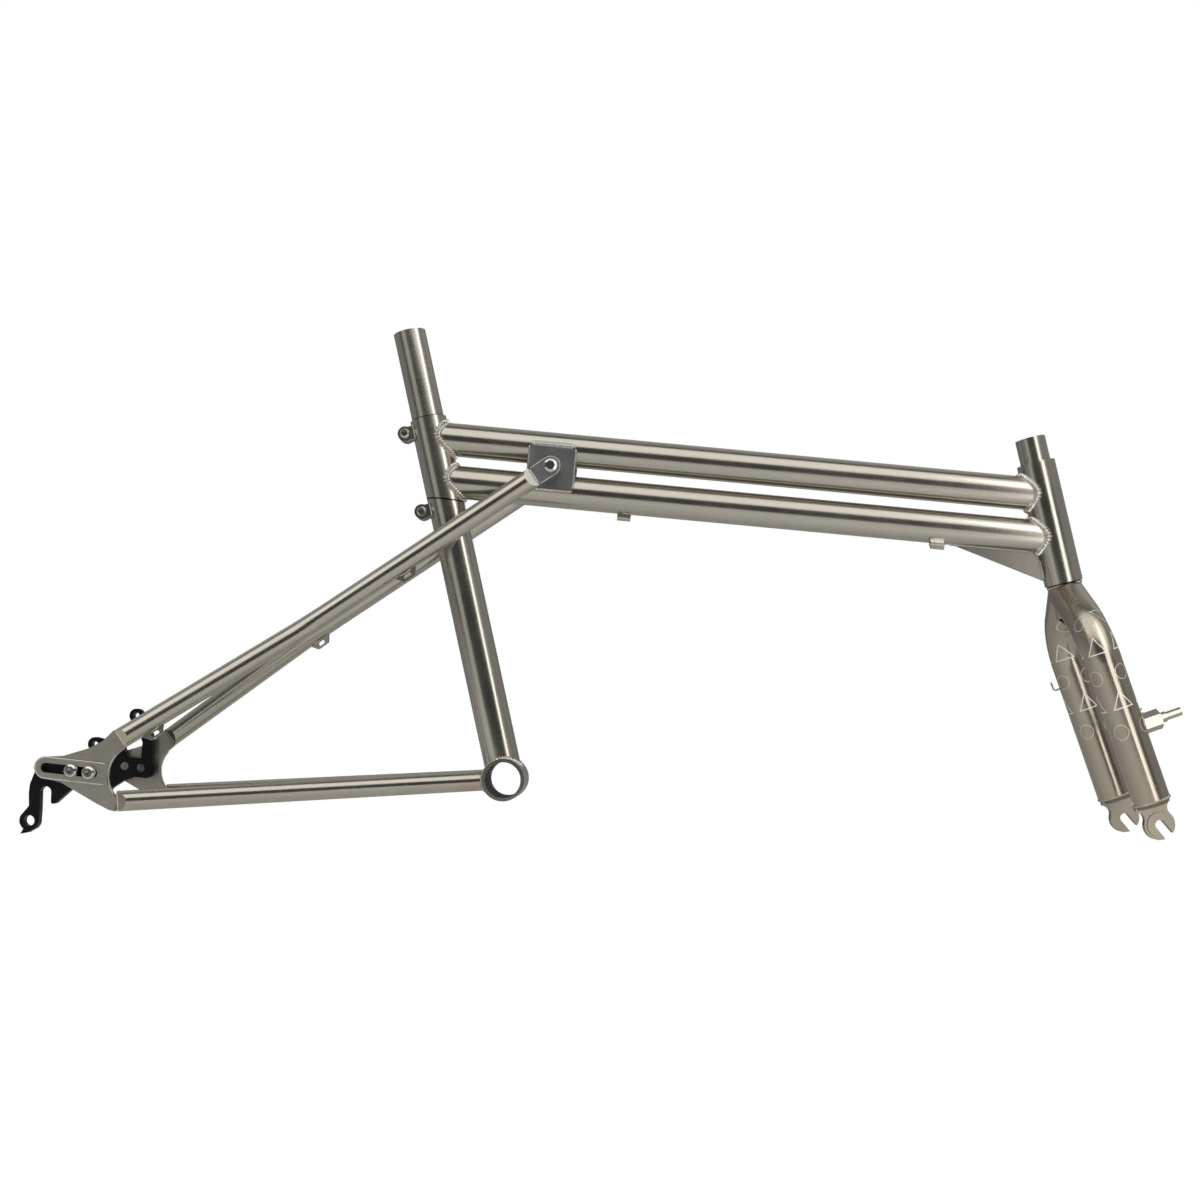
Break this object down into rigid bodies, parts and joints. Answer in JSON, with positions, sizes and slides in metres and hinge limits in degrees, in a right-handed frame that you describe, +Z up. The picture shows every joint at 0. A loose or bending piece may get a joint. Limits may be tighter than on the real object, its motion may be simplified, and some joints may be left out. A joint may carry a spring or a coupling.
{
  "type": "folding bike frameset",
  "caption": "Bare folding bicycle frameset whose rear triangle folds under twin top tubes, with fork, sliding dropouts and seat post.",
  "frame": {"origin": "middle of the bottom bracket shell", "axes": "+X forward, +Y to the rider's left, +Z up"},
  "size_m": [1.0763, 0.1754, 0.495],
  "materials": {
    "titanium": "brushed titanium",
    "titanium_plate": "satin titanium plate",
    "titanium_fork": "satin titanium, warmer",
    "stainless": "polished",
    "black_alloy": "black anodised",
    "bearing_bronze": "satin"
  },
  "bodies": {
    "main_frame": {"head_tube": "titanium", "upper_top_tube": "titanium", "lower_top_tube": "titanium", "seat_sleeve": "titanium", "head_gusset": "titanium", "pivot_bracket": "titanium_plate", "right_pivot_bolt": "stainless", "left_pivot_bolt": "stainless", "cable_guides": "titanium", "upper_binder_bolt": "stainless", "upper_bearing": "stainless", "lower_bearing": "stainless"},
    "seat_post": {"seat_post": "titanium"},
    "rear_triangle": {"seat_tube": "titanium", "bb_shell": "titanium", "right_chain_stay": "titanium", "left_chain_stay": "titanium", "right_seat_stay": "titanium", "left_seat_stay": "titanium", "right_stay_tongue": "titanium_plate", "left_stay_tongue": "titanium_plate", "right_pivot_bush": "bearing_bronze", "left_pivot_bush": "bearing_bronze", "right_hood": "titanium_plate", "left_hood": "titanium_plate", "hose_guides": "titanium", "lower_binder_bolt": "stainless"},
    "right_slider": {"right_slider": "black_alloy", "right_slider_bolts": "stainless"},
    "left_slider": {"left_slider": "black_alloy", "left_slider_bolts": "stainless"},
    "fork": {"steerer": "titanium", "crown_race": "stainless", "right_fork_leg": "titanium_fork", "left_fork_leg": "titanium_fork", "right_fork_end": "titanium_fork", "left_fork_end": "titanium_fork", "right_fork_stud": "stainless", "left_fork_stud": "stainless", "hose_hook": "stainless"}
  },
  "joints": [
    {"name": "rear_fold", "type": "hinge", "parent": "main_frame", "child": "rear_triangle", "pos_m": [0.036, 0, 0.301], "axis": [0, -1, 0], "range_deg": [0, 80]},
    {"name": "seat_post_height", "type": "slide", "parent": "main_frame", "child": "seat_post", "axis": [-0.2402, 0, 0.9707], "range_m": [-0.08, 0.045]},
    {"name": "right_dropout_slide", "type": "slide", "parent": "rear_triangle", "child": "right_slider", "axis": [-0.9964, 0, 0.0845], "range_m": [-0.0024, 0.0185]},
    {"name": "left_dropout_slide", "type": "slide", "parent": "rear_triangle", "child": "left_slider", "axis": [-0.9964, 0, 0.0845], "range_m": [-0.0024, 0.0185]},
    {"name": "steering", "type": "hinge", "parent": "main_frame", "child": "fork", "pos_m": [0.5359, 0, 0.20627], "axis": [-0.258, 0, 0.9662], "continuous": true}
  ]
}
